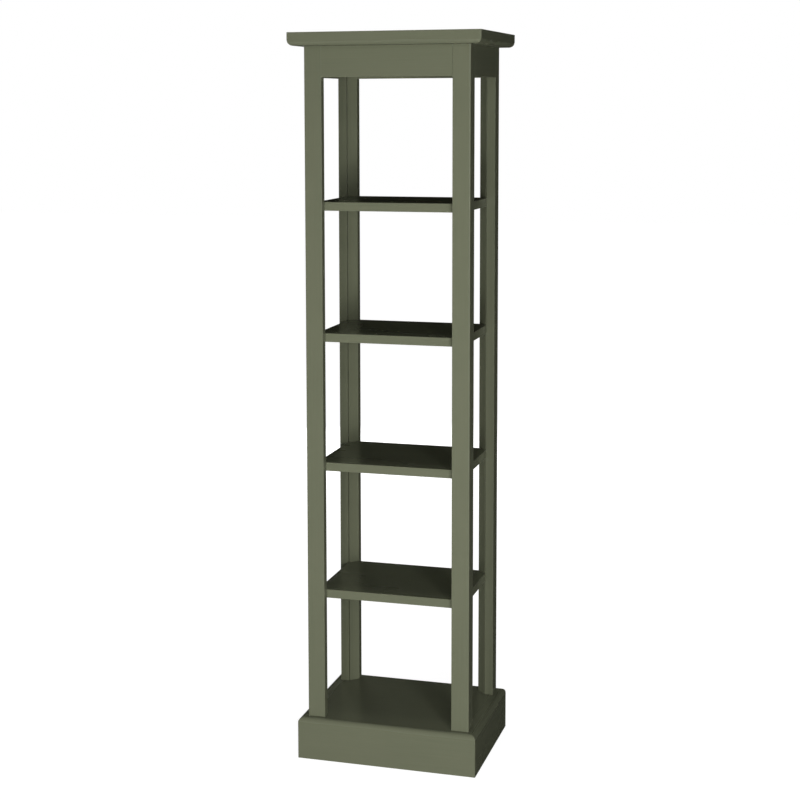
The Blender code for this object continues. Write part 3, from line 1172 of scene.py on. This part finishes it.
@dataclass
class Studio:
    """A pale floor, a white background, soft lamps and a dark tent that only gloss sees.

    The key and the high key give the front and the right side their light and their sheen. The
    low key and the front fill light the lower bays without a mirror image in the corners behind
    the shelves. The back fill and the overhead lamp are for the sides that the portrait doesn't
    show.
    """

    ambient: float = 0.04
    floor_size: float = 40.0
    floor_drop: float = 0.2 * MM
    floor_tone: str = "#e0e0e0"
    shown_floor_tone: str = "#8a8a8a"
    floor_glow: tuple[float, float] = (0.94, 1.0)
    floor_glow_span: tuple[float, float] = (0.5, 2.2)
    tent_radius: float = 9.0
    tent_height: float = 7.0
    tent_drop: float = 0.1 * MM
    tent_tone: str = "#141414"
    tent_sides: int = 64
    lamps: tuple[Softbox, ...] = (
        Softbox("key", 32.0, 1.45, 4.0, 0.5, 0.9, 42.0),
        Softbox("low_key", 22.0, 0.6, 4.0, 0.5, 0.8, 46.0, in_gloss=False),
        Softbox("high_key", 12.0, 3.2, 4.0, 0.6, 0.6, 17.0),
        Softbox("front_fill", 0.0, 0.3, 3.2, 0.5, 0.6, 34.0, in_gloss=False),
        Softbox("back_fill", 205.0, 1.0, 4.5, 1.6, 1.6, 95.0, in_gloss=False),
        Softbox("overhead", 0.0, 4.4, 0.3, 1.0, 1.0, 20.0, in_gloss=False),
    )

    def seen_directly(self, tree: NodeTree) -> Socket:
        """1 for rays that show the background: camera, glossy and transmission rays.

        Args:
            tree: the world's or a material's tree.

        Returns:
            The socket that gives it.
        """
        path = add_node(tree, "ShaderNodeLightPath")
        seen = add_node(
            tree, "ShaderNodeMath",
            {0: path.outputs["Is Camera Ray"], 1: path.outputs["Is Glossy Ray"]},
            operation="MAXIMUM",
        )
        return add_node(
            tree, "ShaderNodeMath", {0: seen.outputs[0], 1: path.outputs["Is Transmission Ray"]},
            operation="MAXIMUM",
        ).outputs[0]

    def build_world(self) -> None:
        """White where it is seen, and a weak white light elsewhere."""
        world = bpy.data.worlds.new("white_studio")
        world.use_nodes = True
        tree = world.node_tree
        tree.nodes.clear()
        glow, white = (
            add_node(
                tree, "ShaderNodeBackground", {"Color": linear("#ffffff"), "Strength": strength}
            )
            for strength in (self.ambient, 1.0)
        )
        shown = add_node(
            tree, "ShaderNodeMixShader",
            {0: self.seen_directly(tree), 1: glow.outputs[0], 2: white.outputs[0]},
        )
        add_node(tree, "ShaderNodeOutputWorld", {"Surface": shown.outputs[0]})
        bpy.context.scene.world = world

    def floor_material(self) -> Material:
        """Pale matt floor. Seen directly it is white, less the object's shadow.

        Returns:
            The material.
        """
        made, tree = bare_material("pale_floor")
        matt = add_node(tree, "ShaderNodeBsdfDiffuse", {"Color": linear(self.floor_tone)})
        faint = add_node(tree, "ShaderNodeBsdfDiffuse", {"Color": linear(self.shown_floor_tone)})
        place = add_node(tree, "ShaderNodeTexCoord")
        away = add_node(
            tree, "ShaderNodeVectorMath", {0: place.outputs["Object"]}, operation="LENGTH"
        )
        white = add_node(
            tree, "ShaderNodeMapRange",
            {
                "Value": away.outputs["Value"],
                "From Min": self.floor_glow_span[0], "From Max": self.floor_glow_span[1],
                "To Min": self.floor_glow[0], "To Max": self.floor_glow[1],
            },
        )
        glow = add_node(
            tree, "ShaderNodeEmission", {"Color": linear("#ffffff"), "Strength": white.outputs[0]}
        )
        pale = add_node(tree, "ShaderNodeAddShader", {0: faint.outputs[0], 1: glow.outputs[0]})
        shown = add_node(
            tree, "ShaderNodeMixShader",
            {0: self.seen_directly(tree), 1: matt.outputs[0], 2: pale.outputs[0]},
        )
        add_node(tree, "ShaderNodeOutputMaterial", {"Surface": shown.outputs[0]})
        return made

    def build_floor(self) -> None:
        """A wide plain floor just under the plinth."""
        half = self.floor_size / 2
        corners = rectangle((-half, -half), (half, half))
        points = np.column_stack([corners, np.full(len(corners), -self.floor_drop)])
        floor = add_mesh("floor", (points, [[0, 1, 2, 3]]))
        floor.data.materials.append(self.floor_material())

    def build_tent(self) -> None:
        """A dark cloth tent round the set, with a dark groundsheet, seen in gloss alone."""
        angle = np.linspace(0, 2 * np.pi, self.tent_sides, endpoint=False)
        ring = self.tent_radius * np.stack([np.cos(angle), np.sin(angle)], axis=1)
        stations = (-self.tent_drop, self.tent_height)
        tent = add_mesh("dark_tent", loft(np.stack([ring, ring]), stations, Grain.UPRIGHT))
        cloth, tree = bare_material("dark_cloth")
        matt = add_node(tree, "ShaderNodeBsdfDiffuse", {"Color": linear(self.tent_tone)})
        add_node(tree, "ShaderNodeOutputMaterial", {"Surface": matt.outputs[0]})
        tent.data.materials.append(cloth)
        for ray in ("camera", "diffuse", "transmission", "volume_scatter", "shadow"):
            setattr(tent, "visible_" + ray, False)

    def build(self) -> None:
        """Sets up the background, the floor, the tent and the lamps."""
        self.build_world()
        self.build_floor()
        self.build_tent()
        for lamp in self.lamps:
            lamp.place()
        bpy.context.scene.view_settings.view_transform = "Standard"


def main() -> None:
    """Builds the cabinet's sub-assemblies in order, then the studio and the camera."""
    logging.basicConfig(level=logging.INFO, format="%(message)s")
    finishes = Finishes()
    joinery = Joinery()
    for assembly in (TopBoard, Posts, Aprons, Shelves, Plinth):
        assembly(finishes, joinery).build()
    HiddenPieces(finishes).dress(frame["nodes"])
    Studio().build()
    Portrait().take()


if __name__ == "__main__":
    main()
